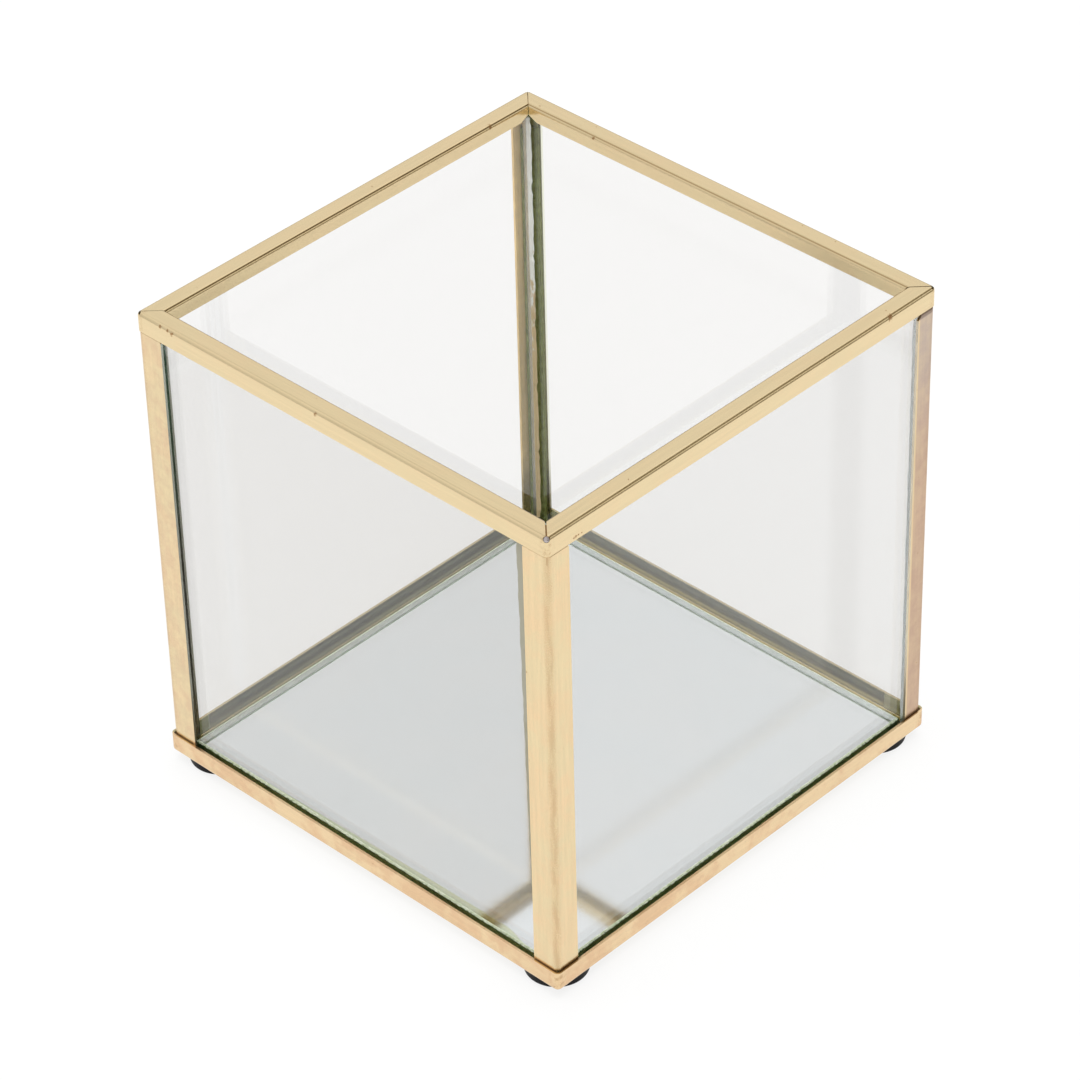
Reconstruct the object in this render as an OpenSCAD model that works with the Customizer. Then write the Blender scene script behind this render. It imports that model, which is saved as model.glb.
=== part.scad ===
// Open-topped display box: clear glass panes in a folded brass strip frame,
// standing on a mirror base with four rubber feet.
// Millimetres, +Z up. The origin is on the floor under the middle of the box.
// Front is -Y, back is +Y, left is -X and right is +X.

/* [Frame] */
// Outside width of the top rim, each way
box_w = 100; // [80:1:140]
// Height of the brass frame, without the feet
frame_h = 100; // [70:1:160]
// Thickness of the brass strip
strip_t = 0.5; // [0.4:0.05:0.55]
// Outside radius of the long folds in the strip
fold_r = 0.8; // [0.65:0.05:0.9]

/* [Top rim] */
// Width of the top face of the folded channel
rim_w = 4; // [3.8:0.1:5]
// Depth of the flange on the outside of the glass
rim_outer_h = 3.9; // [3.5:0.1:6]
// Depth of the flange on the inside of the glass
rim_inner_h = 3.1; // [2.5:0.1:5]
// Plan radius of the rim's outside corners
rim_corner_r = 1; // [0.9:0.1:2]

/* [Bottom rim] */
// Gap between the corner posts and the flange around their feet
base_gap = 0.02; // [0.02:0.02:0.3]
// Height of the bottom rim's outside flange
base_flange_h = 4.15; // [3:0.05:6]
// Width of the leg that is folded in under the base
base_leg_w = 6; // [5:0.5:8]
// Plan radius of the bottom rim's outside corners
base_corner_r = 1; // [0.9:0.1:2]

/* [Corner posts] */
// Leg widths of the front left post: on the left face, on the front face
legs_front_left = [6.3, 5.9]; // [4:0.1:8]
// Leg widths of the front right post: on the right face, on the front face
legs_front_right = [5.3, 5.7]; // [4:0.1:8]
// Leg widths of the back left post: on the left face, on the back face
legs_back_left = [5.8, 4.7]; // [4:0.1:8]
// Leg widths of the back right post: on the right face, on the back face
legs_back_right = [4.6, 4.4]; // [4:0.1:8]
// Outside radius of the fold along each post
post_r = 1; // [0.8:0.1:1.2]

/* [Glass] */
// Thickness of the panes and of the mirror glass
glass_t = 2; // [1.5:0.1:2]
// Gap between the short side panes and the front and back panes
pane_gap = 0.7; // [0.2:0.1:1]
// Gap between the mirror and the panes around it
mirror_gap = 0.6; // [0.3:0.1:1.5]

/* [Feet] */
// Diameter of a rubber foot
foot_d = 12; // [8:0.1:13]
// Height of a foot with its adhesive disc
foot_h = 2; // [1.5:0.1:4]
// Distance from the bottom rim's outside faces to the middle of a foot
foot_inset = 6.6; // [6.5:0.1:12]

/* [Hidden] */
$fn = 48;

// Signs of X and Y at the four corners
front_left = [-1, -1];
front_right = [1, -1];
back_left = [-1, 1];
back_right = [1, 1];

// Heights
base_z = foot_h;
leg_top_z = base_z + strip_t;
rim_top_z = base_z + frame_h;
rim_under_z = rim_top_z - strip_t;
rim_low_z = rim_top_z - rim_outer_h;
paint_t = 0.06;
silver_t = 0.06;
silver_z = leg_top_z + paint_t;
mirror_z = silver_z + silver_t;
adhesive_t = 0.2;

// Distances of the upright faces from the middle of the box
post_set_back = 0.12;
tongue_play = 0.05;
pane_play = 0.1;
rim_half = box_w / 2;
post_half = rim_half - post_set_back;
base_half = post_half + base_gap + strip_t;
tongue_half = rim_half - strip_t - tongue_play;
pane_out = tongue_half - strip_t - pane_play;
pane_in = pane_out - glass_t;
side_pane_end = pane_in - pane_gap;
mirror_half = pane_in - mirror_gap;

// Top of each post
post_foot_gap = 0.1;
post_top_gap = 0.12;
post_bevel = 0.2;
post_clip = 0.3;
bevel_back_right = 0.45;
clip_back_right = 1.2;
tongue_top_gap = 0.3;
tongue_overlap = 1;
tongue_trim = 0.9;
tongue_r = post_r - 0.2;
body_top = rim_low_z - post_top_gap;

// Small cuts and fillers
cut = 0.1;
pane_top_gap = 0.4;
arris = 0.25;
mitre_end = 0.65;
bead_reach = 3.4;
bead_end_gap = 1;
bond_gap = 0.03;
fillet_reach = 2.6;
fillet_h = 0.8;
mitre_slot_front_right = 0.25;
mitre_slot_back_right = 0.2;
mitre_slot_front_left = 0.1;
mitre_slot_back_left = 0.12;
base_mitre_slot = 0.15;
solder_bead_r = 0.52;
bead_gap = 0.05;

module at_corner(c)
{
    mirror([c[0] < 0 ? 1 : 0, 0, 0])
        mirror([0, c[1] < 0 ? 1 : 0, 0])
            children();
}

// A square ring with rounded outside corners. The child is its section,
// with X as the distance from the middle of the box and Y as the height.
module ring(half, corner_r)
{
    inner = half - corner_r;
    side = [[0, 0], [inner, inner], [inner, half + 1], [-inner, half + 1], [-inner, inner]];
    for (quarter = [0:3])
        rotate(90 * quarter)
        {
            intersection()
            {
                rotate([90, 0, 90])
                    linear_extrude(height = 2 * half, center = true)
                        children();
                linear_extrude(height = rim_top_z + 1)
                    polygon(side);
            }
            translate([inner, inner, 0])
                rotate_extrude(angle = 90)
                    intersection()
                    {
                        translate([-inner, 0])
                            children();
                        square([corner_r, rim_top_z + 1]);
                    }
        }
}

// A slot along the diagonal at one corner, from the inside edge outwards
module mitre_slot(c, slot_w, from, to, low, high)
{
    at_corner(c)
        rotate(45)
            translate([from * sqrt(2), -slot_w / 2, low])
                cube([(to - from) * sqrt(2), slot_w, high - low]);
}

// An upside-down channel with two rounded folds
module rim_section()
{
    inside = rim_half - rim_w;
    inner_low = rim_top_z - rim_inner_h;
    difference()
    {
        union()
        {
            translate([inside, rim_low_z])
                square([rim_w, rim_outer_h - fold_r]);
            translate([inside + fold_r, rim_low_z])
                square([rim_w - 2 * fold_r, rim_outer_h]);
            for (x = [inside + fold_r, rim_half - fold_r])
                translate([x, rim_top_z - fold_r])
                    circle(fold_r);
        }
        translate([inside + strip_t, rim_low_z - 1])
            square([rim_w - 2 * strip_t, rim_outer_h + 1 - strip_t]);
        translate([inside - 1, rim_low_z - 1])
            square([1 + strip_t + cut, inner_low - rim_low_z + 1]);
    }
}

// Both ends of each inside flange rise towards the corner
module flange_end_cuts()
{
    inside = rim_half - rim_w;
    end_rise = 1.3;
    end_run = 2.4;
    low = rim_top_z - rim_inner_h - cut;
    for (quarter = [0:3])
        rotate(90 * quarter)
            for (side = [0, 1])
                mirror([side, 0, 0])
                    translate([0, inside + strip_t + cut, 0])
                        rotate([90, 0, 0])
                            linear_extrude(height = strip_t + 2 * cut)
                                polygon([[inside - end_run, low],
                                         [inside + strip_t, low],
                                         [inside + strip_t, low + end_rise]]);
}

// The folds part from the flange in a short curved slot at two outside corners
module corner_relief(c)
{
    relief_w = 0.4;
    relief_out = 0.12;
    at_corner(c)
        translate([rim_half - rim_corner_r, rim_half - rim_corner_r, rim_top_z - fold_r])
            rotate(5)
                rotate_extrude(angle = 80)
                    translate([rim_corner_r - relief_out - relief_w, 0])
                        square([relief_w, fold_r + cut]);
}

module top_rim()
{
    color("khaki")
        difference()
        {
            ring(rim_half, rim_corner_r)
                rim_section();
            flange_end_cuts();
            top_mitre(front_left, mitre_slot_front_left);
            top_mitre(front_right, mitre_slot_front_right);
            top_mitre(back_left, mitre_slot_back_left);
            top_mitre(back_right, mitre_slot_back_right);
            for (c = [front_left, back_right])
                corner_relief(c);
            solder_bead(solder_bead_r + bead_gap);
        }
}

module top_mitre(c, slot_w)
{
    mitre_slot(c, slot_w, rim_half - rim_w - cut, rim_half - mitre_end,
               rim_top_z - rim_inner_h - cut, rim_top_z + cut);
}

// An L with its fold at the bottom
module base_section()
{
    translate([base_half - strip_t, base_z + fold_r])
        square([strip_t, base_flange_h - fold_r]);
    translate([base_half - base_leg_w, base_z])
        square([base_leg_w - fold_r, strip_t]);
    translate([base_half - fold_r, base_z + fold_r])
        intersection()
        {
            difference()
            {
                circle(fold_r);
                circle(fold_r - strip_t);
            }
            translate([0, -fold_r])
                square(fold_r);
        }
}

module bottom_rim()
{
    color("burlywood")
        difference()
        {
            ring(base_half, base_corner_r)
                base_section();
            for (c = [front_left, front_right, back_left, back_right])
                mitre_slot(c, base_mitre_slot, base_half - base_leg_w - cut,
                           base_half - base_corner_r, base_z - cut, leg_top_z + cut);
        }
}

// An L section with a rounded fold. Legs are [on the X face, on the Y face].
module angle_section(outer, legs, fold)
{
    translate([outer - strip_t, outer - legs[0]])
        square([strip_t, legs[0] - fold]);
    translate([outer - legs[1], outer - strip_t])
        square([legs[1] - fold, strip_t]);
    translate([outer - fold, outer - fold])
        intersection()
        {
            difference()
            {
                circle(fold);
                circle(fold - strip_t);
            }
            square(fold);
        }
}

// The post's body lies flush under the top rim and its tongue runs up inside it.
// The free top corner of each leg is clipped off.
module corner_post(c, legs, bevel, clip)
{
    body_low = leg_top_z + post_foot_gap;
    tongue_low = body_top - tongue_overlap;
    tongue_top = rim_under_z - tongue_top_gap;
    tongue_legs = [legs[0] - tongue_trim, legs[1] - tongue_trim];
    color("burlywood")
        at_corner(c)
        {
            difference()
            {
                translate([0, 0, body_low])
                    linear_extrude(height = body_top - body_low)
                        angle_section(post_half, legs, post_r);
                top_bevel(bevel);
                mirror([1, -1, 0])
                    top_bevel(bevel);
                leg_end_clip(legs[0], clip);
                mirror([1, -1, 0])
                    leg_end_clip(legs[1], clip);
            }
            translate([0, 0, tongue_low])
                linear_extrude(height = tongue_top - tongue_low)
                    angle_section(tongue_half, tongue_legs, tongue_r);
        }
}

// Takes the outside edge off the top of the leg on the X face
module top_bevel(bevel)
{
    translate([post_half, 0, body_top - bevel])
        rotate([0, -45, 0])
            cube([1, rim_half + 1, 2 * bevel]);
}

// Takes the free corner off the top of the leg on the X face
module leg_end_clip(leg, clip)
{
    translate([post_half - strip_t - cut, post_half - leg, body_top - clip])
        rotate([45, 0, 0])
            cube([strip_t + 2 * cut, 2 * clip, 2 * clip]);
}

// The front and back panes run the full width, the side panes fit between them
module long_pane()
{
    color("lightcyan", 0.4)
        translate([-pane_out, pane_in, leg_top_z])
            cube([2 * pane_out, glass_t, rim_under_z - pane_top_gap - leg_top_z]);
}

module short_pane()
{
    color("lightcyan", 0.4)
        translate([pane_in, -side_pane_end, leg_top_z])
            cube([glass_t, 2 * side_pane_end, rim_under_z - pane_top_gap - leg_top_z]);
}

module glass_pane_front()
{
    mirror([0, 1, 0])
        long_pane();
}

module glass_pane_back()
{
    long_pane();
}

module glass_pane_left()
{
    mirror([1, 0, 0])
        short_pane();
}

module glass_pane_right()
{
    short_pane();
}

module mirror_plate(low, thick)
{
    translate([-mirror_half, -mirror_half, low])
        cube([2 * mirror_half, 2 * mirror_half, thick]);
}

// Mirror glass with its four top edges ground off
module mirror_glass()
{
    color("lightsteelblue", 0.6)
        difference()
        {
            mirror_plate(mirror_z, glass_t);
            for (quarter = [0:3])
                rotate(90 * quarter)
                    translate([mirror_half, 0, mirror_z + glass_t - arris])
                        rotate([0, -45, 0])
                            translate([0, -mirror_half - 1, 0])
                                cube([1, 2 * mirror_half + 2, 2 * arris]);
        }
}

module mirror_silvering()
{
    color("silver")
        mirror_plate(silver_z, silver_t);
}

module mirror_backing_paint()
{
    color("slategray")
        mirror_plate(leg_top_z, paint_t);
}

// The space between a post and the panes, for a distance each side of the fold.
// It stops just short of both, so that no two faces lie in one plane.
module behind_post(reach)
{
    inside = post_half - strip_t - bond_gap;
    inside_r = post_r - strip_t - bond_gap;
    difference()
    {
        union()
        {
            translate([inside - reach, inside - reach])
                square([reach - inside_r, reach]);
            translate([inside - reach, inside - reach])
                square([reach, reach - inside_r]);
            translate([inside - inside_r, inside - inside_r])
                circle(inside_r);
        }
        square([pane_out + bond_gap, pane_out + bond_gap]);
    }
}

// Clear bead that bonds the panes to the inside of a post
module sealant(c)
{
    bead_low = leg_top_z + bead_end_gap;
    bead_high = body_top - tongue_overlap - bead_end_gap;
    color("whitesmoke", 0.5)
        at_corner(c)
            translate([0, 0, bead_low])
                linear_extrude(height = bead_high - bead_low)
                    behind_post(bead_reach);
}

// Solder under each mitre, and the bead that closes the front right corner
module solder_top()
{
    patch_r = 1.6;
    patch_t = pane_top_gap - 0.05;
    patch_low = rim_half - rim_w + strip_t;
    patch_w = tongue_half - strip_t - tongue_play - patch_low;
    patch_at = patch_low + patch_w / 2;
    color("gray")
    {
        for (c = [front_left, front_right, back_left, back_right])
            at_corner(c)
                intersection()
                {
                    translate([patch_at, patch_at, rim_under_z])
                        sphere(patch_r);
                    translate([patch_low, patch_low, rim_under_z - patch_t])
                        cube([patch_w, patch_w, patch_t]);
                }
        solder_bead(solder_bead_r);
    }
}

// Ball at the outside end of the front right mitre
module solder_bead(radius)
{
    inset = 0.56;
    at_corner(front_right)
        translate([rim_half - inset, rim_half - inset, rim_top_z - solder_bead_r])
            sphere(radius);
}

// Solder between the foot of each post and the leg of the bottom rim
module solder_bottom()
{
    color("saddlebrown")
        for (c = [front_left, front_right, back_left, back_right])
            at_corner(c)
                translate([0, 0, leg_top_z])
                    linear_extrude(height = fillet_h)
                        behind_post(fillet_reach);
}

module at_foot(c)
{
    at_corner(c)
        translate([base_half - foot_inset, base_half - foot_inset, 0])
            children();
}

module foot_adhesive(c)
{
    margin = 0.4;
    color("dimgray")
        at_foot(c)
            translate([0, 0, base_z - adhesive_t])
                cylinder(h = adhesive_t, r = foot_d / 2 - margin);
}

// A rubber disc with a rounded lower edge
module rubber_foot(c)
{
    edge_r = 0.6;
    pad_r = foot_d / 2;
    pad_top = base_z - adhesive_t;
    color("black")
        at_foot(c)
            rotate_extrude()
            {
                square([pad_r - edge_r, pad_top]);
                translate([0, edge_r])
                    square([pad_r, pad_top - edge_r]);
                translate([pad_r - edge_r, edge_r])
                    intersection()
                    {
                        circle(edge_r);
                        translate([0, -edge_r])
                            square(edge_r);
                    }
            }
}

top_rim();
bottom_rim();
corner_post(front_left, legs_front_left, post_bevel, post_clip);  // corner_post_front_left
corner_post(front_right, legs_front_right, post_bevel, post_clip);  // corner_post_front_right
corner_post(back_left, legs_back_left, post_bevel, post_clip);  // corner_post_back_left
corner_post(back_right, legs_back_right, bevel_back_right, clip_back_right);  // corner_post_back_right
glass_pane_front();
glass_pane_back();
glass_pane_left();
glass_pane_right();
mirror_glass();
mirror_silvering();
mirror_backing_paint();
sealant(front_left);  // sealant_front_left
sealant(front_right);  // sealant_front_right
sealant(back_left);  // sealant_back_left
sealant(back_right);  // sealant_back_right
solder_top();
solder_bottom();
foot_adhesive(front_left);  // foot_adhesive_front_left
foot_adhesive(front_right);  // foot_adhesive_front_right
foot_adhesive(back_left);  // foot_adhesive_back_left
foot_adhesive(back_right);  // foot_adhesive_back_right
rubber_foot(front_left);  // rubber_foot_front_left
rubber_foot(front_right);  // rubber_foot_front_right
rubber_foot(back_left);  // rubber_foot_back_left
rubber_foot(back_right);  // rubber_foot_back_right
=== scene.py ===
"""Looks for an open-topped glass display box with a folded brass frame and a mirror base."""
import math

import bmesh
import bpy
from mathutils import Matrix, Vector


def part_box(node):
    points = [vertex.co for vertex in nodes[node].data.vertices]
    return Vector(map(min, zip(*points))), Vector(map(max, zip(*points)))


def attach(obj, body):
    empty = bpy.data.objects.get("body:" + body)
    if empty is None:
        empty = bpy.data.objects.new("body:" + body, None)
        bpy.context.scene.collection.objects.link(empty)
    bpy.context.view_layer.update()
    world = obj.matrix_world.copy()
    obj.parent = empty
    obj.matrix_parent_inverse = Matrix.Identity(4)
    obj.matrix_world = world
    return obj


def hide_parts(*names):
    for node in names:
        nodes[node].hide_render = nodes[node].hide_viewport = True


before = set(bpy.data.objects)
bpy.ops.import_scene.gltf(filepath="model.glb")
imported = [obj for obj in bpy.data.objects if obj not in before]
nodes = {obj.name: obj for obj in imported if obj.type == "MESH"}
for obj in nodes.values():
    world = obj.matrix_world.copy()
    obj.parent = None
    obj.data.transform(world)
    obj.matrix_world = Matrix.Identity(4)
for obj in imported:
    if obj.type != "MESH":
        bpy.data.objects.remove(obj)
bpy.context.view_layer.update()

MM = 0.001
CORNERS = ("front_left", "front_right", "back_left", "back_right")
scene = bpy.context.scene


# ---------------------------------------------------------------- camera

VIEW_AZIMUTH = math.radians(44.54)
VIEW_ELEVATION = math.radians(37.0)
VIEW_ROLL = math.radians(-1.54)
VIEW_DISTANCE = 0.830
VIEW_LENS = 151.3
SENSOR_WIDTH = 36.0
CLIP_NEAR = 0.05
CLIP_FAR = 20.0
AIM_RIGHT = -0.42 * MM
AIM_UP = -2.61 * MM


def view_axes():
    """The camera's right, up and backward directions, with its roll."""
    level = math.cos(VIEW_ELEVATION)
    back = Vector((math.sin(VIEW_AZIMUTH) * level, -math.cos(VIEW_AZIMUTH) * level,
                   math.sin(VIEW_ELEVATION)))
    right = Vector((math.cos(VIEW_AZIMUTH), math.sin(VIEW_AZIMUTH), 0.0))
    up = back.cross(right)
    rolled_right = right * math.cos(VIEW_ROLL) + up * math.sin(VIEW_ROLL)
    rolled_up = up * math.cos(VIEW_ROLL) - right * math.sin(VIEW_ROLL)
    return rolled_right, rolled_up, back


def make_camera():
    """A long lens above the front right post, aimed near the middle of the brass frame."""
    right, up, back = view_axes()
    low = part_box("bottom_rim")[0]
    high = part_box("top_rim")[1]
    middle = Vector((0.0, 0.0, (low.z + high.z) / 2))
    camera_data = bpy.data.cameras.new("camera")
    camera_data.lens = VIEW_LENS
    camera_data.sensor_width = SENSOR_WIDTH
    camera_data.clip_start = CLIP_NEAR
    camera_data.clip_end = CLIP_FAR
    camera = bpy.data.objects.new("camera", camera_data)
    scene.collection.objects.link(camera)
    camera.location = middle + right * AIM_RIGHT + up * AIM_UP + back * VIEW_DISTANCE
    camera.rotation_mode = "QUATERNION"
    turn = [[right[i], up[i], back[i]] for i in range(3)]
    camera.rotation_quaternion = Matrix(turn).to_quaternion()
    scene.camera = camera


make_camera()


# ---------------------------------------------------------------- node helpers

# Where most of a noise texture's values lie, and the narrower stretch that mixes two colours
NOISE_RANGE = (0.3, 0.7)
NOISE_MIDDLE = (0.35, 0.65)


class Shader:
    """An emptied node tree, with short ways to add and join nodes."""

    def __init__(self, owner):
        owner.use_nodes = True
        self.tree = owner.node_tree
        self.tree.nodes.clear()

    def add(self, kind, inputs=None, **properties):
        """A node with its properties set. inputs gives values or sockets by name or index."""
        made = self.tree.nodes.new(kind)
        for key, value in properties.items():
            setattr(made, key, value)
        for key, value in (inputs or {}).items():
            if isinstance(value, bpy.types.NodeSocket):
                self.tree.links.new(value, made.inputs[key])
            else:
                made.inputs[key].default_value = value
        return made

    def join(self, source, target):
        self.tree.links.new(source, target)

    def math(self, operation, a, b=0.0, clamp=False):
        made = self.add("ShaderNodeMath", {0: a, 1: b}, operation=operation, use_clamp=clamp)
        return made.outputs[0]

    def vector(self, x, y, z):
        return self.add("ShaderNodeCombineXYZ", {0: x, 1: y, 2: z}).outputs[0]

    def scaled(self, vector, factor):
        """A vector or colour times a number."""
        made = self.add("ShaderNodeVectorMath", {0: vector, "Scale": factor}, operation="SCALE")
        return made.outputs[0]

    def dot(self, a, b):
        made = self.add("ShaderNodeVectorMath", {0: a, 1: b}, operation="DOT_PRODUCT")
        return made.outputs["Value"]

    def length(self, vector):
        return self.add("ShaderNodeVectorMath", {0: vector}, operation="LENGTH").outputs["Value"]

    def millimetres(self):
        """Object coordinates in millimetres, whole and as X, Y and Z."""
        whole = self.scaled(self.add("ShaderNodeTexCoord").outputs["Object"], 1 / MM)
        parts = self.add("ShaderNodeSeparateXYZ", {0: whole}).outputs
        return whole, parts[0], parts[1], parts[2]

    def true_normal(self):
        return self.add("ShaderNodeNewGeometry").outputs["True Normal"]

    def facing(self, axis):
        """Size of the true normal's part along axis 0, 1 or 2."""
        parts = self.add("ShaderNodeSeparateXYZ", {0: self.true_normal()}).outputs
        return self.math("ABSOLUTE", parts[axis])

    def outward(self, x, y):
        """How much the true normal points away from the box's middle: above 0 it faces out."""
        return self.dot(self.true_normal(), self.vector(x, y, 0.0))

    def noise(self, where, scale, detail=3.0, roughness=0.55):
        values = {"Vector": where, "Scale": scale, "Detail": detail, "Roughness": roughness}
        return self.add("ShaderNodeTexNoise", values).outputs["Fac"]

    def ramp(self, value, low, high, at_low=0.0, at_high=1.0):
        """Value mapped smoothly from the stretch low to high onto at_low to at_high."""
        inputs = {0: value, 1: low, 2: high, 3: at_low, 4: at_high}
        return self.add("ShaderNodeMapRange", inputs, interpolation_type="SMOOTHSTEP").outputs[0]

    def blend(self, share, a, b):
        """Numbers a and b mixed by share."""
        return self.add("ShaderNodeMix", {0: share, 2: a, 3: b}).outputs[0]

    def mix(self, share, a, b):
        """Colours a and b mixed by share."""
        return self.add("ShaderNodeMix", {0: share, 6: a, 7: b}, data_type="RGBA").outputs[2]

    def spread(self, noise, at_low, at_high):
        """Noise brought from its usual range to at_low to at_high."""
        return self.ramp(noise, *NOISE_RANGE, at_low, at_high)

    def mottled(self, noise, a, b):
        """Colours a and b in soft patches."""
        return self.mix(self.ramp(noise, *NOISE_MIDDLE), a, b)

    def corner_reach(self, ax, ay, axis):
        """Distance outwards from the upright axes that stand axis from the middle both ways."""
        off_x = self.math("MAXIMUM", self.math("SUBTRACT", ax, axis), 0.0)
        off_y = self.math("MAXIMUM", self.math("SUBTRACT", ay, axis), 0.0)
        return self.length(self.vector(off_x, off_y, 0.0))

    def bump(self, height, strength, distance):
        values = {"Height": height, "Strength": strength, "Distance": distance}
        return self.add("ShaderNodeBump", values).outputs[0]


class Surface(Shader):
    """A new material with one Principled shader."""

    def __init__(self, name):
        self.material = bpy.data.materials.new(name)
        super().__init__(self.material)
        self.output = self.add("ShaderNodeOutputMaterial")
        self.shader = self.add("ShaderNodeBsdfPrincipled")
        self.inputs = self.shader.inputs
        self.join(self.shader.outputs[0], self.output.inputs["Surface"])

    def finish(self, tone, rough, height, bump_strength, bump_depth):
        """Joins the colour, roughness and bump. bump_depth is in millimetres."""
        self.join(tone, self.inputs["Base Color"])
        self.join(rough, self.inputs["Roughness"])
        self.join(self.bump(height, bump_strength, bump_depth * MM), self.inputs["Normal"])

    def transmit(self, clearness, ior, shadow_tint):
        """Makes it glassy. The lamp shines straight through, so what lies behind is lit."""
        self.inputs["Transmission Weight"].default_value = clearness
        self.inputs["IOR"].default_value = ior
        clear = self.add("ShaderNodeBsdfTransparent", {0: shadow_tint})
        shadow = self.add("ShaderNodeLightPath").outputs["Is Shadow Ray"]
        both = self.add("ShaderNodeMixShader",
                        {0: shadow, 1: self.shader.outputs[0], 2: clear.outputs[0]})
        self.join(both.outputs[0], self.output.inputs["Surface"])


def colour(red, green, blue):
    return (red, green, blue, 1.0)


# ---------------------------------------------------------------- brass

PALE_GOLD = colour(0.815, 0.66, 0.40)
WARM_GOLD = colour(0.85, 0.64, 0.385)
PEACH_GOLD = colour(0.79, 0.54, 0.32)
PINK_GOLD = colour(0.56, 0.385, 0.28)
ASH_GOLD = colour(0.53, 0.43, 0.37)
LEG_GOLD = colour(0.74, 0.64, 0.36)
TARNISH = colour(0.38, 0.20, 0.08)
TOP_SHADE_BROWN = colour(0.26, 0.19, 0.15)
SLOT_SHADE = colour(0.10, 0.05, 0.025)
SEAM_FLUX_AND_SHADE = colour(0.09, 0.04, 0.015)
LIP_SHADE = colour(0.50, 0.46, 0.26)
FOLD_DARK_REFLECTION = colour(0.34, 0.22, 0.09)
FOOT_SHADE = colour(0.13, 0.10, 0.03)
CORNER_GAP_SHADE = colour(0.12, 0.13, 0.05)
EDGE_HIGHLIGHT = colour(0.92, 0.93, 0.86)

# Lengths are in millimetres and heights are above the surface that the feet stand on. A pair
# is the stretch over which one look passes into the next.
ALONG_BRUSHING = 0.05
POST_RIDGE = 49.88
ASHEN_FROM = 0.5
ASHEN_HEIGHT = (60.0, 97.0)
RIDGE_GOLD = (0.35, 0.8)
LEG_END_GOLD = (4.0, 4.25)
TOP_SHADE_HEIGHT = (96.7, 97.1)
RIDGE_MARKS = (0.2, 1.6)
TOP_MARKS = (0.15, 0.6)
TOP_MARKS_HEIGHT = (95.6, 96.6)
RIM_MARKS = (0.0, 2.2)
POST_INSIDE = -40.0
RIM_INSIDE = -47.0
NEVER_HIGHLIT = 9.0
HIGHLIGHT_FADE = 0.3
DRIFT_HEIGHT = (20.0, 95.0)
PANE_SETBACK = 2.2
DARK_BAND = (1.3, 1.6)
FOOT_SHADE_HEIGHT = (9.0, 22.0)
LIP_FROM = 6.12
LIP_TO = 6.3
BASE_AXIS = 49.4
SEAM_REACH = 0.72
FLUX_REACH = (5.0, 6.4)
INNER_FOLD = 46.35
FOLD_LINE = (0.05, 0.14)
LEG_TOP = 2.6
LEG_OUTER = 49.9
SLOT_AXIS = 49.0
SLOT_REACH = 0.87
TOP_RIM_UPPER = 101.0
TOP_FACE = 101.9

# Brown pits and a nick along the folds of the top rim: place and size
RIM_SPOTS = (((-43.6, -49.9, 101.6), 0.40), ((-41.7, -49.9, 101.5), 0.35),
             ((-40.6, -49.9, 101.4), 0.50), ((-4.5, -49.8, 101.3), 0.45),
             ((49.7, 37.4, 101.6), 0.80), ((-46.2, 36.0, 101.8), 0.65),
             ((-29.3, 46.1, 101.6), 0.45), ((50.0, -43.5, 98.75), 0.30),
             ((50.0, -43.0, 98.8), 0.34), ((50.0, -42.4, 98.85), 0.26),
             ((50.0, -41.6, 98.9), 0.22))


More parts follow.
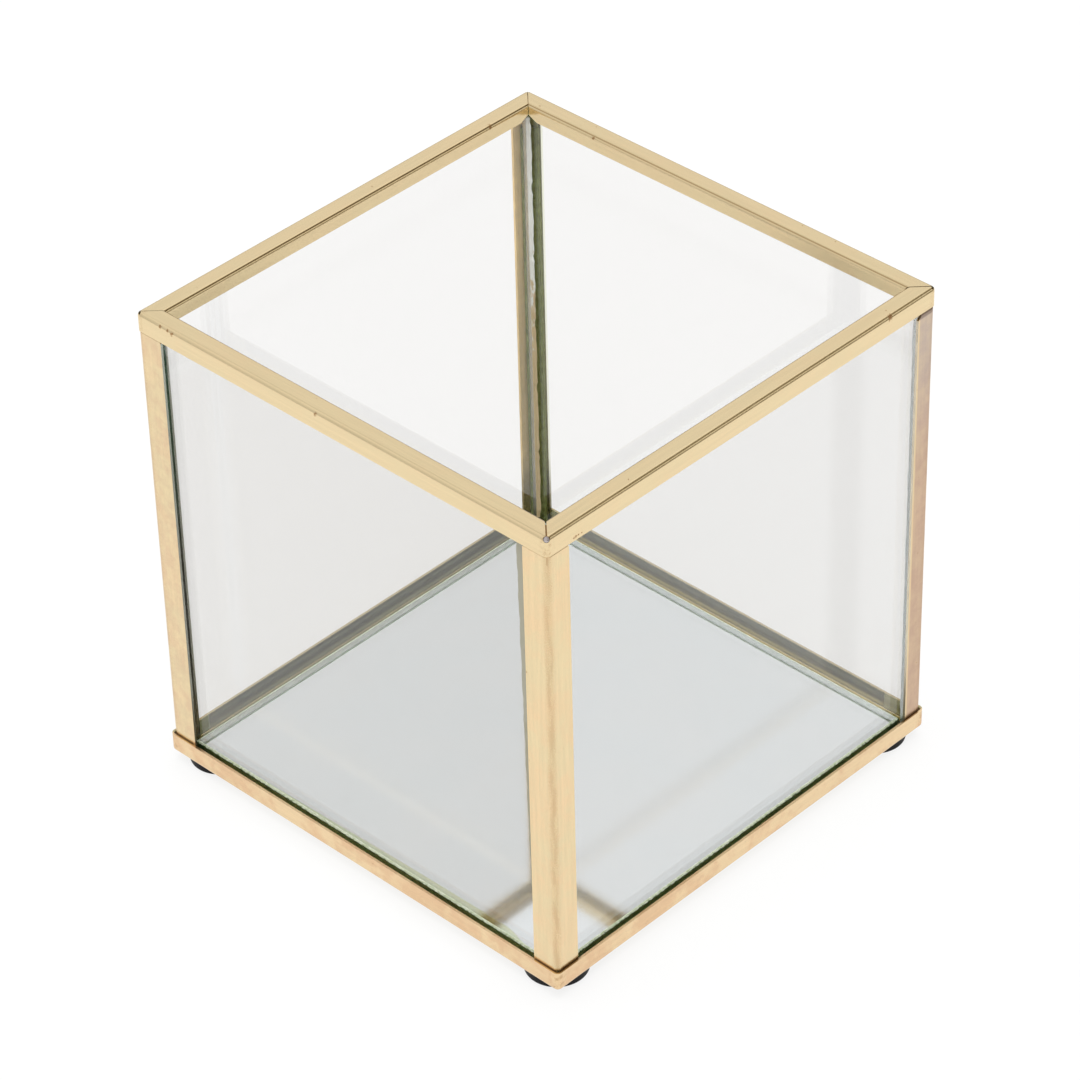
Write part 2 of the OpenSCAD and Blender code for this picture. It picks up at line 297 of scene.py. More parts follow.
def brass(name, upright, pale, warm, warm_share, back, dull=0.0, spots=(),
          highlight_from=(NEVER_HIGHLIT, NEVER_HIGHLIT)):
    """Satin plated strip with the colour drifting between a pale and a warm gold.

    The brushing runs up the posts and round the rims. back gives the colours of the side of
    the strip that faces into the box, behind the glass, painted with the shade and reflections
    seen there: on the box's left and right, then on its front and back. For a post it also gives
    the painted shade that both drift to lower down, and by how much. The last argument says,
    for the same two sides, how far from its ridge a post's leg carries a pale painted highlight
    on the inside. A post more than half dull is also ashen, has a painted brown shade at its
    upper end under the rim, and keeps its gold along its edges.
    """
    s = Surface(name)
    place, x, y, z = s.millimetres()
    ax = s.math("ABSOLUTE", x)
    ay = s.math("ABSOLUTE", y)
    on_side = s.math("GREATER_THAN", ax, ay)
    if upright:
        brushed = s.vector(x, y, s.math("MULTIPLY", z, ALONG_BRUSHING))
    else:
        along = s.blend(on_side, x, y)
        across = s.blend(on_side, y, x)
        brushed = s.vector(s.math("MULTIPLY", along, ALONG_BRUSHING), across, z)
    streaks = s.noise(brushed, 1.5, roughness=0.5)
    cloud = s.noise(place, 0.10)
    patches = s.noise(place, 0.45)
    grain = s.noise(place, 4.5, detail=2.0, roughness=0.6)

    warmth = s.math("ADD", s.ramp(cloud, *NOISE_MIDDLE), s.ramp(patches, 0.4, 0.7, -0.25, 0.35))
    warmth = s.math("MULTIPLY", warmth, warm_share, clamp=True)
    tone = s.mix(warmth, pale, warm)
    off_ridge = s.math("SUBTRACT", POST_RIDGE, s.math("MINIMUM", ax, ay))
    if dull:
        worn = s.ramp(patches, 0.25, 0.75, dull - 0.15, dull + 0.15)
        worn_tone = PINK_GOLD
        if dull > ASHEN_FROM:
            edges = s.math("ADD", s.ramp(off_ridge, *RIDGE_GOLD, 0.6, 0.0),
                           s.ramp(off_ridge, *LEG_END_GOLD, 0.0, 0.8))
            worn = s.math("MULTIPLY", worn, s.math("SUBTRACT", 1.0, edges))
            worn_tone = s.mix(s.ramp(z, *ASHEN_HEIGHT), PINK_GOLD, ASH_GOLD)
        tone = s.mix(worn, tone, worn_tone)
    shade = s.math("MULTIPLY", s.spread(grain, 0.975, 1.02),
                   s.spread(streaks, 0.975, 1.02))
    tone = s.scaled(tone, shade)

    # Brown tarnish: a few pits, faint marks by the joints and streaks down a post's ridge
    pits = s.ramp(s.noise(place, 1.3, detail=2.0, roughness=0.6), 0.745, 0.775)
    if upright:
        runs = s.noise(s.vector(x, y, s.math("MULTIPLY", z, 0.16)), 1.3, detail=2.0, roughness=0.5)
        marks = s.math("MULTIPLY", s.ramp(off_ridge, *RIDGE_MARKS, 0.34, 0.0),
                       s.ramp(runs, 0.38, 0.62, 0.5, 1.0))
        at_top = s.math("MULTIPLY", s.ramp(z, *TOP_MARKS_HEIGHT, 0.0, 0.8),
                        s.ramp(off_ridge, *TOP_MARKS, 1.0, 0.0))
        marks = s.math("MAXIMUM", marks, at_top)
        if dull > ASHEN_FROM:
            # Painted shade: a brown band at the post's upper end, under the rim
            tone = s.mix(s.ramp(z, *TOP_SHADE_HEIGHT, 0.0, 0.8), tone, TOP_SHADE_BROWN)
    else:
        blotch = s.noise(place, 1.1, detail=4.0, roughness=0.6)
        marks = s.math("MULTIPLY", s.ramp(off_ridge, *RIM_MARKS, 0.45, 0.0),
                       s.ramp(blotch, 0.46, 0.68))
    stain = s.math("MAXIMUM", marks, s.math("MULTIPLY", pits, 0.8), clamp=True)
    if spots:
        ragged = s.spread(s.noise(place, 1.8, detail=4.0, roughness=0.7), 0.45, -0.45)
    for centre, size in spots:
        away = s.add("ShaderNodeVectorMath", {0: place, 1: centre}, operation="DISTANCE")
        edge = s.math("ADD", away.outputs["Value"], s.math("MULTIPLY", ragged, size))
        stain = s.math("MAXIMUM", stain, s.ramp(edge, size * 0.3, size, 0.9, 0.0))
    tone = s.mix(stain, tone, TARNISH)
    rough = s.math("ADD", s.spread(grain, 0.20 + 0.12 * dull, 0.25 + 0.12 * dull),
                   s.math("MULTIPLY", stain, 0.25))

    # The side that faces into the box, painted with the shade and reflections seen through the
    # glass, with a pale painted highlight near the end of a post's leg
    inside = s.math("LESS_THAN", s.outward(x, y), POST_INSIDE if upright else RIM_INSIDE)
    highlit_leg_end = s.blend(on_side, s.ramp(off_ridge, highlight_from[1], highlight_from[1] + HIGHLIGHT_FADE),
                   s.ramp(off_ridge, highlight_from[0], highlight_from[0] + HIGHLIGHT_FADE))
    inside_shade_and_light = s.mix(on_side, back[1], back[0])
    inside_mottle = s.math("MULTIPLY", s.spread(streaks, 0.90, 1.08),
                    s.spread(patches, 0.93, 1.06))
    inside_shade_and_light = s.scaled(inside_shade_and_light, inside_mottle)
    if upright:
        # Painted shade: the inside drifts darker lower down
        inside_shade_and_light = s.mix(s.ramp(z, *DRIFT_HEIGHT, back[3], 0.0), inside_shade_and_light, back[2])
        # Painted shade: a dark band near the inside corner, reaching further on the side legs,
        # where the panes are set back
        wandering = s.math("ADD", off_ridge, s.spread(runs, -0.2, 0.2))
        past_pane = s.math("SUBTRACT", wandering, s.math("MULTIPLY", on_side, PANE_SETBACK))
        inside_shade_and_light = s.mix(s.ramp(past_pane, *DARK_BAND, 0.7, 0.0), inside_shade_and_light, CORNER_GAP_SHADE)
        # A pale painted highlight near the end of a post's leg
        inside_shade_and_light = s.mix(s.math("MULTIPLY", highlit_leg_end, 0.8), inside_shade_and_light, EDGE_HIGHLIGHT)
        # Painted shade low down, near the bottom rim
        inside_shade_and_light = s.mix(s.ramp(z, *FOOT_SHADE_HEIGHT, 0.8, 0.0), inside_shade_and_light, FOOT_SHADE)
    tone = s.mix(inside, tone, inside_shade_and_light)
    rough_inside = s.math("SUBTRACT", 0.45, s.math("MULTIPLY", highlit_leg_end, 0.25))
    rough = s.blend(inside, rough, rough_inside)
    inside_painted = s.math("MULTIPLY", inside, s.math("SUBTRACT", 1.0, highlit_leg_end))
    metal = s.math("SUBTRACT", 1.0, s.math("MULTIPLY", inside_painted, 0.5))
    if not upright:
        tone = rim_flux_and_shade(s, tone, x, y, z, off_ridge)

    height = s.math("ADD", s.math("MULTIPLY", grain, 0.5), s.math("MULTIPLY", streaks, 0.8))
    s.finish(tone, rough, height, 0.2, 0.02)
    s.join(metal, s.inputs["Metallic"])
    return s.material


def rim_flux_and_shade(s, tone, x, y, z, off_ridge):
    """The rims' tone with flux, painted shade and a painted dark reflection that lie only in their
    seams, lip, folds and corner slots.
    """
    ax = s.math("ABSOLUTE", x)
    ay = s.math("ABSOLUTE", y)
    furthest = s.math("MAXIMUM", ax, ay)
    in_top_rim = s.math("GREATER_THAN", z, TOP_RIM_UPPER)

    # Flux and painted shade in the seam between the bottom rim and each post, and painted shade
    # that dulls the lip at the back
    lip = s.math("MULTIPLY", s.math("GREATER_THAN", z, LIP_FROM), s.math("LESS_THAN", z, LIP_TO))
    by_post = s.math("MULTIPLY", s.ramp(off_ridge, *FLUX_REACH, 0.9, 0.0),
                     s.math("LESS_THAN", s.corner_reach(ax, ay, BASE_AXIS), SEAM_REACH))
    tone = s.mix(s.math("MULTIPLY", lip, by_post), tone, SEAM_FLUX_AND_SHADE)
    # Painted shade: the lip on the back half is duller
    on_back_half = s.math("GREATER_THAN", y, x)
    tone = s.mix(s.math("MULTIPLY", lip, s.math("MULTIPLY", on_back_half, 0.7)), tone, LIP_SHADE)

    # A painted dark reflection: a brown line along the inner fold of the top rim
    from_fold = s.math("ABSOLUTE", s.math("SUBTRACT", furthest, INNER_FOLD))
    fold = s.math("MULTIPLY", s.ramp(from_fold, *FOLD_LINE, 0.8, 0.0), in_top_rim)
    tone = s.mix(fold, tone, FOLD_DARK_REFLECTION)

    # The bottom rim's leg under the glass
    on_leg = s.math("MULTIPLY", s.math("LESS_THAN", z, LEG_TOP),
                    s.math("LESS_THAN", furthest, LEG_OUTER))
    tone = s.mix(on_leg, tone, LEG_GOLD)

    # Painted shade in the open slots at two of the top rim's corners
    in_corner = s.math("GREATER_THAN", s.math("MINIMUM", ax, ay), SLOT_AXIS)
    below_face = s.math("MULTIPLY", s.math("LESS_THAN", z, TOP_FACE), in_top_rim)
    in_slot = s.math("LESS_THAN", s.corner_reach(ax, ay, SLOT_AXIS), SLOT_REACH)
    in_slot = s.math("MULTIPLY", in_slot, s.math("MULTIPLY", in_corner, below_face))
    return s.mix(in_slot, tone, SLOT_SHADE)


# ---------------------------------------------------------------- glass and mirror

PANE_FACE = colour(0.93, 0.91, 0.915)
MIRROR_FACE = colour(1.0, 1.0, 1.0)
MIRROR_WEDGE_LIGHT = colour(0.80, 0.88, 0.50)
PANE_EDGE = colour(0.50, 0.74, 0.42)
# Painted light: the short panes' cut edges are pale, as if lit from inside the box
LIT_PANE_EDGE = colour(0.88, 0.95, 0.95)
MIRROR_EDGE = colour(0.46, 0.90, 0.36)
ABSORBED_TINT = colour(0.10, 0.80, 0.20)
PANE_ABSORPTION = 9.0
MIRROR_ABSORPTION = 13.0
GLASS_IOR = 1.51
GLASS_SHADOW = colour(0.90, 0.92, 0.91)

# Along the mirror's front edge in millimetres
WEDGE_LEFT = -46.0
WEDGE_WIDEST = 33.0
WEDGE_RIGHT = 41.0
WEDGE_WIDTHS = (0.2, 1.6)
WEDGE_BLUR = 0.1


def glass(name, thin_axis, face, cut_edge, density, wedge=None):
    """Clear float glass.

    thin_axis is 0, 1 or 2, the axis across its faces, and its other faces are cut edges.
    wedge is the tint of a long sliver beside the front edge: painted light standing for the lit
    ground edge as it shows through.
    """
    s = Surface(name)
    place, x, y, _ = s.millimetres()
    if wedge:
        width = s.math("MULTIPLY", s.ramp(x, WEDGE_LEFT, WEDGE_WIDEST, *WEDGE_WIDTHS),
                       s.ramp(x, WEDGE_WIDEST, WEDGE_RIGHT, 1.0, 0.0))
        front_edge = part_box("mirror_glass")[0].y / MM
        off_edge = s.math("SUBTRACT", s.math("SUBTRACT", y, front_edge), width)
        face = s.mix(s.ramp(off_edge, -WEDGE_BLUR, WEDGE_BLUR, 1.0, 0.0), face, wedge)
    edge = s.math("LESS_THAN", s.facing(thin_axis), 0.5)
    hackle = s.noise(place, 2.5, detail=4.0, roughness=0.7)
    rough = s.math("MULTIPLY", edge, s.spread(hackle, 0.30, 0.50))
    s.finish(s.mix(edge, face, cut_edge), rough, s.math("MULTIPLY", hackle, edge), 0.25, 0.06)
    s.transmit(1.0, GLASS_IOR, GLASS_SHADOW)
    soak = s.add("ShaderNodeVolumeAbsorption", {"Color": ABSORBED_TINT, "Density": density})
    s.join(soak.outputs[0], s.output.inputs["Volume"])
    return s.material


def silvering():
    """The mirror's metal film, with faint clouding and a few dark specks."""
    s = Surface("mirror_silver")
    place = s.millimetres()[0]
    cloud = s.noise(place, 0.05)
    speck = s.ramp(s.noise(place, 1.1, detail=2.0), 0.80, 0.83)
    tone = s.mottled(cloud, colour(0.925, 0.93, 0.99), colour(0.94, 0.935, 0.99))
    tone = s.mix(s.math("MULTIPLY", speck, 0.6), tone, colour(0.35, 0.36, 0.36))
    s.join(tone, s.inputs["Base Color"])
    s.join(s.spread(cloud, 0.030, 0.040), s.inputs["Roughness"])
    s.inputs["Metallic"].default_value = 1.0
    return s.material


def backing_paint():
    s = Surface("backing_paint")
    orange_peel = s.noise(s.millimetres()[0], 1.2)
    tone = s.mix(s.ramp(orange_peel, *NOISE_RANGE), colour(0.115, 0.135, 0.15),
                 colour(0.145, 0.165, 0.18))
    s.finish(tone, s.spread(orange_peel, 0.42, 0.6), orange_peel, 0.4, 0.08)
    return s.material


# ---------------------------------------------------------------- sealant, solder, rubber

SEALANT_IOR = 1.41
SEALANT_SHADOW = colour(0.97, 0.96, 0.93)
SEALANT_VOIDS = colour(0.45, 0.47, 0.33)
BURNT_FLUX = colour(0.34, 0.19, 0.07)
BEAD_FROM = 48.93
RUBBER_SHINE = 0.15


def sealant(name, clearness, thin, thick):
    """Cured silicone between two tones, with small voids. A clearness below 1 makes it milky."""
    s = Surface(name)
    place = s.millimetres()[0]
    lumps = s.noise(place, 0.7, detail=4.0, roughness=0.65)
    voids = s.ramp(s.noise(place, 2.4, detail=2.0), 0.66, 0.72)
    tone = s.mottled(lumps, thin, thick)
    tone = s.mix(s.math("MULTIPLY", voids, 0.6), tone, SEALANT_VOIDS)
    s.finish(tone, s.spread(lumps, 0.05, 0.15), lumps, 0.1, 0.1)
    s.transmit(clearness, SEALANT_IOR, SEALANT_SHADOW)
    return s.material


def solder(name, bright, dark, stain_from, bead_from=None):
    """Lumpy solder, brown with burnt flux nearer the middle than bead_from, the bead's start."""
    s = Surface(name)
    place, x, y, _ = s.millimetres()
    grain = s.noise(place, 1.6, detail=5.0, roughness=0.7)
    tone = s.mix(s.ramp(grain, stain_from, stain_from + 0.25), bright, dark)
    if bead_from:
        off_middle = s.math("MINIMUM", s.math("ABSOLUTE", x), s.math("ABSOLUTE", y))
        tone = s.mix(s.math("LESS_THAN", off_middle, bead_from), tone, BURNT_FLUX)
    s.finish(tone, s.spread(grain, 0.34, 0.6), grain, 0.6, 0.1)
    s.inputs["Metallic"].default_value = 1.0
    return s.material


def rubber(name, clean, dusty, roughness):
    """Pebbled black rubber with a little dust."""
    s = Surface(name)
    place = s.millimetres()[0]
    pebble = s.noise(place, 3.0, detail=4.0, roughness=0.7)
    dust = s.ramp(s.noise(place, 0.8, detail=5.0), 0.55, 0.75)
    tone = s.mix(s.math("MULTIPLY", dust, 0.35), clean, dusty)
    rough = s.spread(pebble, roughness - 0.08, roughness + 0.08)
    s.finish(tone, rough, pebble, 0.35, 0.05)
    s.inputs["Specular IOR Level"].default_value = RUBBER_SHINE
    return s.material


# ---------------------------------------------------------------- finish of each CAD node

def dress(node, material):
    """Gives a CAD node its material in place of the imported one."""
    mesh = nodes[node].data
    if not mesh.materials:
        mesh.materials.append(material)
    for slot in range(len(mesh.materials)):
        mesh.materials[slot] = material


def dress_brass():
    # Inside colours: painted shade and reflections seen through the glass, darkest on the front
    # left post
    straw = colour(0.95, 0.80, 0.30)
    green = colour(0.02, 0.11, 0.045)
    shade_black_green = colour(0.012, 0.014, 0.006)
    tan = colour(1.0, 0.72, 0.34)
    olive = colour(0.84, 0.86, 0.36)
    umber = colour(0.40, 0.29, 0.10)
    cream = colour(1.0, 0.88, 0.70)
    reed = colour(0.50, 0.53, 0.27)
    sand = colour(0.88, 0.80, 0.40)
    dress("top_rim", brass("brass_top_rim", False, PALE_GOLD, WARM_GOLD, 0.3, (straw, straw),
                           spots=RIM_SPOTS))
    dress("bottom_rim", brass("brass_bottom_rim", False, WARM_GOLD, PEACH_GOLD, 1.3, (reed, sand)))
    posts = (("front_left", "brass_post_shaded_back", (green, green, shade_black_green, 1.4),
              {"dull": 0.16, "highlight_from": (5.7, 5.7)}),
             ("front_right", "brass_post", (olive, olive, umber, 0.45), {}),
             ("back_left", "brass_post_olive_back", (tan, olive, umber, 0.45),
              {"highlight_from": (NEVER_HIGHLIT, 3.9)}),
             ("back_right", "brass_worn_post", (cream, cream, cream, 0.0), {"dull": 0.85}))
    for corner, name, back, wear in posts:
        dress("corner_post_" + corner, brass(name, True, PALE_GOLD, WARM_GOLD, 0.9, back, **wear))


def dress_glass():
    long_panes = glass("glass_long_panes", 1, PANE_FACE, PANE_EDGE, PANE_ABSORPTION)
    short_panes = glass("glass_short_panes", 0, PANE_FACE, LIT_PANE_EDGE, PANE_ABSORPTION)
    for side, material in (("front", long_panes), ("back", long_panes), ("left", short_panes),
                           ("right", short_panes)):
        dress("glass_pane_" + side, material)
    dress("mirror_glass", glass("glass_mirror", 2, MIRROR_FACE, MIRROR_EDGE, MIRROR_ABSORPTION,
                                wedge=MIRROR_WEDGE_LIGHT))
    dress("mirror_backing_paint", backing_paint())


def dress_joints_and_feet():
    clear = sealant("clear_sealant", 1.0, colour(0.93, 0.92, 0.80), colour(0.97, 0.96, 0.88))
    milky = sealant("milky_sealant", 0.25, colour(0.93, 0.97, 0.98), colour(0.99, 1.0, 1.0))
    aged = sealant("aged_sealant", 0.25, colour(0.30, 0.34, 0.10), colour(0.46, 0.51, 0.18))
    pad = rubber("foot_adhesive", colour(0.05, 0.05, 0.05), colour(0.10, 0.10, 0.10), 0.8)
    foot = rubber("foot_rubber", colour(0.006, 0.006, 0.006), colour(0.025, 0.023, 0.021), 0.5)
    for corner in CORNERS:
        dress("sealant_" + corner, {"back_right": milky, "back_left": aged}.get(corner, clear))
        dress("foot_adhesive_" + corner, pad)
        dress("rubber_foot_" + corner, foot)
    dress("solder_top", solder("solder", colour(0.58, 0.53, 0.53), colour(0.30, 0.25, 0.24), 0.5,
                               bead_from=BEAD_FROM))
    dress("solder_bottom", solder("fluxed_solder", BURNT_FLUX, colour(0.12, 0.06, 0.02), 0.45))


dress_brass()
dress_glass()
dress_joints_and_feet()


# ---------------------------------------------------------------- pieces beside the CAD nodes

def make_object(name, mesh_builder, material):
    """An object from a finished bmesh, with one material, linked to the scene."""
    mesh = bpy.data.meshes.new(name)
    mesh_builder.to_mesh(mesh)
    mesh_builder.free()
    mesh.materials.append(material)
    made = bpy.data.objects.new(name, mesh)
    scene.collection.objects.link(made)
    return made


# ---------------------------------------------------------------- silver film

FILM_RISE = 0.02 * MM
FILM_STEPS = 48


def make_silver_film():
    """The silvering, pressed a little into the glass over it, so that no gap shows between them."""
    low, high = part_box("mirror_silvering")
    mesh_builder = bmesh.new()
    bmesh.ops.create_grid(mesh_builder, x_segments=FILM_STEPS, y_segments=FILM_STEPS, size=1.0)
    half = (high.x - low.x) / 2
    for vertex in mesh_builder.verts:
        vertex.co = Vector((vertex.co.x * half, vertex.co.y * half, high.z + FILM_RISE))
    top = list(mesh_builder.faces)
    grown = bmesh.ops.extrude_face_region(mesh_builder, geom=top)
    for item in grown["geom"]:
        if isinstance(item, bmesh.types.BMVert):
            item.co.z = low.z
    bmesh.ops.recalc_face_normals(mesh_builder, faces=mesh_builder.faces)
    film = make_object("mirror_silver_film", mesh_builder, silvering())
    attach(film, "root")
    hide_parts("mirror_silvering")


make_silver_film()


# ---------------------------------------------------------------- ground edge of the mirror

EDGE_SKIN = 0.12 * MM
EDGE_GAP = 0.02 * MM
ARRIS = 0.25 * MM
ARRIS_FADE = (-0.02, 0.06)


def ground_edge():
    """Ground glass with its light painted on: deep green painted shade from outside, pale painted
    light through the glass and a pale painted highlight along its chipped arris.
    """
    s = Surface("ground_edge")
    place, x, y, z = s.millimetres()
    arris_low = (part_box("mirror_glass")[1].z - ARRIS) / MM
    chips = s.noise(place, 1.6, detail=4.0, roughness=0.7)
    banded = s.vector(s.math("MULTIPLY", x, 0.05), s.math("MULTIPLY", y, 0.05), z)
    bands = s.noise(banded, 1.2, detail=2.0)
    deep = s.mottled(bands, colour(0.020, 0.055, 0.012), colour(0.050, 0.110, 0.030))
    pale = s.mottled(chips, colour(0.62, 0.70, 0.46), colour(0.95, 0.98, 0.85))
    from_inside = s.math("LESS_THAN", s.outward(x, y), 0.0)
    rise = s.math("ADD", z, s.spread(chips, -0.1, 0.1))
    on_arris = s.ramp(rise, arris_low + ARRIS_FADE[0], arris_low + ARRIS_FADE[1])
    # Painted light and shade: pale where seen through the glass and on the arris, deep green
    # outside
    tone = s.mix(s.math("MAXIMUM", from_inside, on_arris), deep, pale)
    s.finish(tone, s.spread(chips, 0.25, 0.5), chips, 0.4, 0.06)
    return s.material


def make_ground_edge():
    """A skin round the sides and arrises of the mirror glass that shows their ground surface."""
    low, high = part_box("mirror_glass")
    inner = high.x + EDGE_GAP
    outer = inner + EDGE_SKIN
    chamfer = high.x - ARRIS
    profile = ((inner, low.z + EDGE_GAP), (outer, low.z + EDGE_GAP), (outer, high.z - ARRIS),
               (chamfer + EDGE_SKIN, high.z + EDGE_GAP), (chamfer, high.z + EDGE_GAP),
               (inner, high.z - ARRIS + EDGE_GAP))
    mesh_builder = bmesh.new()
    loops = []
    for sx, sy in ((-1, -1), (1, -1), (1, 1), (-1, 1)):
        loops.append([mesh_builder.verts.new((sx * reach, sy * reach, level))
                      for reach, level in profile])
    for side in range(4):
        here, following = loops[side], loops[(side + 1) % 4]
        for i in range(len(profile)):
            j = (i + 1) % len(profile)
            mesh_builder.faces.new((here[i], following[i], following[j], here[j]))
    bmesh.ops.recalc_face_normals(mesh_builder, faces=mesh_builder.faces)
    skin = make_object("mirror_ground_edge", mesh_builder, ground_edge())
    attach(skin, "root")


make_ground_edge()


# ---------------------------------------------------------------- sealant squeezed out of joints

SEAM_CLEARANCE = 0.03 * MM
BEAD_STEP = 1.0 * MM
OVER_MIRROR = 0.1 * MM
UNDER_RIM = 3.3 * MM
BEAD_COVER = 0.1 * MM

# Widths in millimetres. Each wave is a size and how many radians it turns for each step up.
BEAD_WIDTH = 0.58
BEAD_WAVES = ((0.08, 0.83), (0.05, 2.17))
THIN_WIDTH = 0.3
THIN_TURN = 0.41
THIN_START = 1.3
THIN_ABOVE = 0.93
FILLET_BELLY = 0.4

SMEAR_FROM = 12.0 * MM
SMEAR_INTO_RIM = 1.0 * MM
SMEAR_LEAST = 0.80
SMEAR_SPREAD = 1.55
SMEAR_POWER = 0.8
SMEAR_WAVES = ((0.07, 0.71), (0.05, 1.9))
SMEAR_THICK = 0.12 * MM
SMEAR_BEVEL = 0.1 * MM
SMEAR_TUCK = 0.4 * MM


def wavy(width, waves, step):
    """A width that wavers from step to step."""
    for size, turn in waves:
        width += size * math.sin(step * turn)
    return width


def squeezed(name, fresh, aged, fresh_above, aged_below):
    """Opaque cured silicone, mostly fresh in tone above one height in mm and aged below another."""
    s = Surface(name)
    _, x, y, z = s.millimetres()
    lumps = s.noise(s.vector(x, y, s.math("MULTIPLY", z, 0.35)), 0.9, detail=4.0, roughness=0.65)
    lean = s.ramp(z, aged_below, fresh_above, 0.3, -0.3)
    tone = s.mix(s.ramp(s.math("ADD", lumps, lean), 0.42, 0.58), fresh, aged)
    s.finish(tone, s.spread(lumps, 0.25, 0.45), lumps, 0.3, 0.1)
    return s.material


def make_strand(name, rings, material):
    """A closed strand through rings of points, each ring going the same way round."""
    mesh_builder = bmesh.new()
    loops = [[mesh_builder.verts.new(point) for point in ring] for ring in rings]
    for here, following in zip(loops, loops[1:]):
        for i in range(len(here)):
            j = (i + 1) % len(here)
            mesh_builder.faces.new((here[i], here[j], following[j], following[i]))
    mesh_builder.faces.new(loops[0])
    mesh_builder.faces.new(loops[-1])
    bmesh.ops.recalc_face_normals(mesh_builder, faces=mesh_builder.faces)
    strand = make_object(name, mesh_builder, material)
    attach(strand, "root")


def make_pane_bead(side, material):
    """The bead between the end of a side pane and the back pane, smoothed to an uneven fillet."""
    pane_low, pane_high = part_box("glass_pane_" + side)
    sign = 1.0 if side == "right" else -1.0
    inner = min(abs(pane_low.x), abs(pane_high.x)) - SEAM_CLEARANCE
    deep = max(abs(pane_low.x), abs(pane_high.x)) - BEAD_COVER
    near = pane_high.y + SEAM_CLEARANCE
    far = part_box("glass_pane_back")[0].y - SEAM_CLEARANCE
    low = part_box("mirror_glass")[1].z + OVER_MIRROR
    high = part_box("top_rim")[1].z - UNDER_RIM
    count = int((high - low) / BEAD_STEP)
    rings = []
    for step in range(count + 1):
        level = low + (high - low) * step / count
        width = wavy(BEAD_WIDTH, BEAD_WAVES, step) * MM
        if math.sin(step * THIN_TURN + THIN_START) > THIN_ABOVE:
            width = THIN_WIDTH * MM
        belly = FILLET_BELLY * width
        toe = min(far - width, near)
        rings.append([(sign * (inner - width), far, level),
                      (sign * (inner - belly), far - belly, level),
                      (sign * inner, toe, level), (sign * inner, near, level),
                      (sign * deep, near, level), (sign * deep, far, level)])
    make_strand("pane_bead_back_" + side, rings, material)


def make_post_smear(material):
    """Sealant that has crept out along the front pane from behind the front right post."""
    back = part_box("glass_pane_front")[0].y - SEAM_CLEARANCE
    front = back - SMEAR_THICK
    leg_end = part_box("corner_post_front_right")[0].x
    tuck = leg_end + SMEAR_TUCK
    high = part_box("top_rim")[0].z + SMEAR_INTO_RIM
    count = int((high - SMEAR_FROM) / BEAD_STEP)
    rings = []
    for step in range(count + 1):
        share = step / count
        level = SMEAR_FROM + share * (high - SMEAR_FROM)
        reach = wavy(SMEAR_LEAST + SMEAR_SPREAD * share ** SMEAR_POWER, SMEAR_WAVES, step) * MM
        rings.append([(leg_end - reach, back, level), (leg_end - reach + SMEAR_BEVEL, front, level),
                      (tuck, front, level), (tuck, back, level)])
    make_strand("post_smear_front_right", rings, material)


make_pane_bead("left", squeezed("bead_white", colour(0.96, 0.95, 0.90), colour(0.66, 0.50, 0.29),
                                fresh_above=85.0, aged_below=30.0))
make_pane_bead("right", squeezed("bead_bluish", colour(0.97, 0.99, 1.0), colour(0.86, 0.93, 0.97),
                                 fresh_above=110.0, aged_below=70.0))
make_post_smear(squeezed("smear_olive", colour(0.40, 0.38, 0.29), colour(0.36, 0.33, 0.23),
                         fresh_above=85.0, aged_below=30.0))


# ---------------------------------------------------------------- floor and light

WHITE = colour(1.0, 1.0, 1.0)
FLOOR_RADIUS = 6.0
FLOOR_SIDES = 96
FLOOR_TONE = colour(0.14, 0.14, 0.14)
FLOOR_GLOW = 0.83
FLOOR_FAR_GLOW = 0.35
FLOOR_FADE = (600.0, 1100.0)


def make_floor():
    """A white light table: it glows evenly near the box and fades further out."""
    s = Surface("floor")
    glow = s.ramp(s.length(s.millimetres()[0]), *FLOOR_FADE, FLOOR_GLOW, FLOOR_FAR_GLOW)
    s.join(glow, s.inputs["Emission Strength"])
    s.inputs["Emission Color"].default_value = WHITE
    s.inputs["Base Color"].default_value = FLOOR_TONE
    s.inputs["Roughness"].default_value = 0.9
    s.inputs["Specular IOR Level"].default_value = 0.0
    mesh_builder = bmesh.new()
    bmesh.ops.create_circle(mesh_builder, cap_ends=True, segments=FLOOR_SIDES, radius=FLOOR_RADIUS)
    floor = make_object("floor", mesh_builder, s.material)


LAMP_SIZE = 1.3
LAMP_HEIGHT = 1.35
LAMP_RADIANCE = 3.0


def make_lamp():
    """One large softbox straight above, left out of reflections so that no top face burns out."""
    data = bpy.data.lights.new("softbox", "AREA")
    data.shape = "SQUARE"
    data.size = LAMP_SIZE
    data.energy = LAMP_RADIANCE * math.pi * LAMP_SIZE ** 2
    lamp = bpy.data.objects.new("softbox", data)
    lamp.location = (0.0, 0.0, LAMP_HEIGHT)
    lamp.visible_glossy = False
    scene.collection.objects.link(lamp)


# The studio by direction. Heights are sines of the elevation, and asides are how far to the
# right of straight ahead, from -1 to 1. A pair is the stretch over which one surface passes
# into the next, and the glows are brightnesses.
BACKDROP_RISE = (0.14, 0.26)
BACKDROP_GLOW = (0.45, 0.90)
RIGHT_WALL_ASIDE = (0.40, 0.48)
RIGHT_WALL_GLOW = 0.22
BAND_FOOT = (0.26, 0.32)
BAND_HEAD = (0.52, 0.57)
BAND_GLOW = 0.68
LEFT_WALL_ASIDE = (-0.48, -0.40)
LEFT_WALL_RISE = (0.45, 0.62)
LEFT_WALL_GLOW = (0.72, 0.85)
CEILING_RISE = (0.68, 0.72)
CEILING_GLOW = 0.94
STRIP_ASIDE = (0.08, 0.13)
STRIP_GLOW = 0.10
DARK_ASIDE = (0.42, 0.50)
DARK_LOSS = 0.72
SEAM_ASIDE = (-0.36, -0.30)
SEAM_END = (-0.14, -0.09)
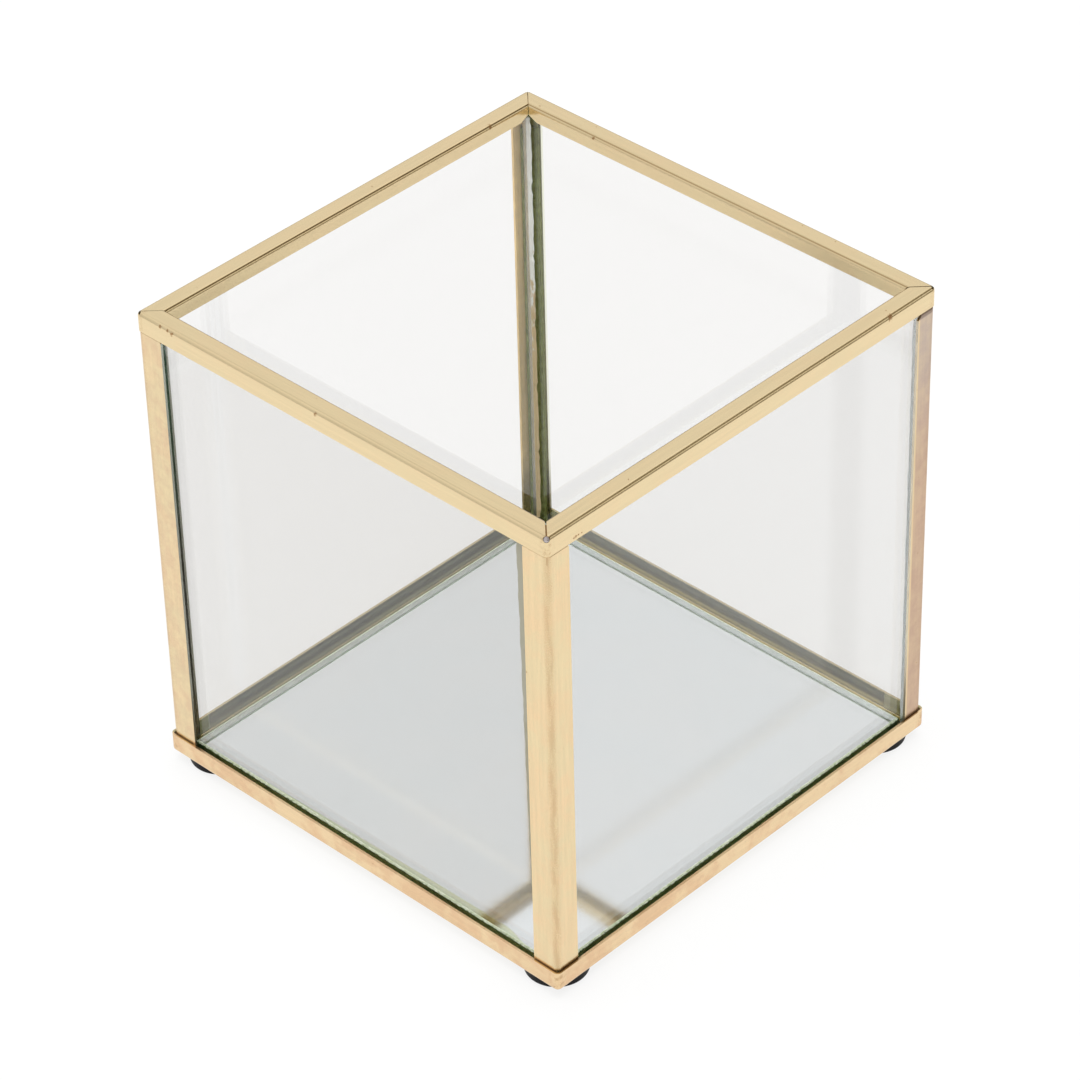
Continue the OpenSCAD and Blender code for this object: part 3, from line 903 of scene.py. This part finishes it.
SEAM_LOSS = 0.28
DIM_TINT = colour(1.0, 0.84, 0.52)
BRIGHT_TINT = colour(1.0, 1.0, 0.995)
TINT_FROM = (0.25, 0.75)


def make_room():
    """White studio: pale behind, banded on the right by strip lights, softer on the left."""
    world = bpy.data.worlds.new("studio")
    scene.world = world
    s = Shader(world)
    direction = s.add("ShaderNodeTexCoord").outputs["Generated"]
    height = s.add("ShaderNodeSeparateXYZ", {0: direction}).outputs[2]
    aside = s.dot(direction, (math.cos(VIEW_AZIMUTH), math.sin(VIEW_AZIMUTH), 0.0))

    # Below the ceiling
    on_right = s.ramp(aside, *RIGHT_WALL_ASIDE)
    on_left = s.ramp(aside, *LEFT_WALL_ASIDE, 1.0, 0.0)
    right_band = s.math("MULTIPLY", s.ramp(height, *BAND_FOOT),
                        s.ramp(height, *BAND_HEAD, 1.0, 0.0))
    right_wall = s.math("ADD", RIGHT_WALL_GLOW, s.math("MULTIPLY", right_band, BAND_GLOW))
    left_wall = s.ramp(height, *LEFT_WALL_RISE, *LEFT_WALL_GLOW)
    wall = s.blend(on_right, s.ramp(height, *BACKDROP_RISE, *BACKDROP_GLOW), right_wall)
    wall = s.blend(on_left, wall, left_wall)

    # Over the top: a bright strip right of the middle, a dark seam left of it
    dark_right = s.ramp(aside, *DARK_ASIDE)
    strip = s.math("MULTIPLY", s.ramp(aside, *STRIP_ASIDE), s.ramp(aside, *DARK_ASIDE, 1.0, 0.0))
    seam = s.math("MULTIPLY", s.ramp(aside, *SEAM_ASIDE), s.ramp(aside, *SEAM_END, 1.0, 0.0))
    ceiling = s.math("ADD", CEILING_GLOW, s.math("MULTIPLY", strip, STRIP_GLOW))
    ceiling = s.math("SUBTRACT", ceiling, s.math("MULTIPLY", dark_right, DARK_LOSS))
    ceiling = s.math("SUBTRACT", ceiling, s.math("MULTIPLY", seam, SEAM_LOSS))
    strength = s.blend(s.ramp(height, *CEILING_RISE), wall, ceiling)
    tint = s.mix(s.ramp(strength, *TINT_FROM), DIM_TINT, BRIGHT_TINT)
    glow = s.add("ShaderNodeBackground", {"Color": tint, "Strength": strength})
    end = s.add("ShaderNodeOutputWorld")
    s.join(glow.outputs[0], end.inputs["Surface"])


LIGHT_BOUNCES = 24
GLOSSY_BOUNCES = 12

make_floor()
make_lamp()
make_room()
scene.view_settings.view_transform = "Standard"
scene.cycles.max_bounces = LIGHT_BOUNCES
scene.cycles.transmission_bounces = LIGHT_BOUNCES
scene.cycles.transparent_max_bounces = LIGHT_BOUNCES
scene.cycles.glossy_bounces = GLOSSY_BOUNCES
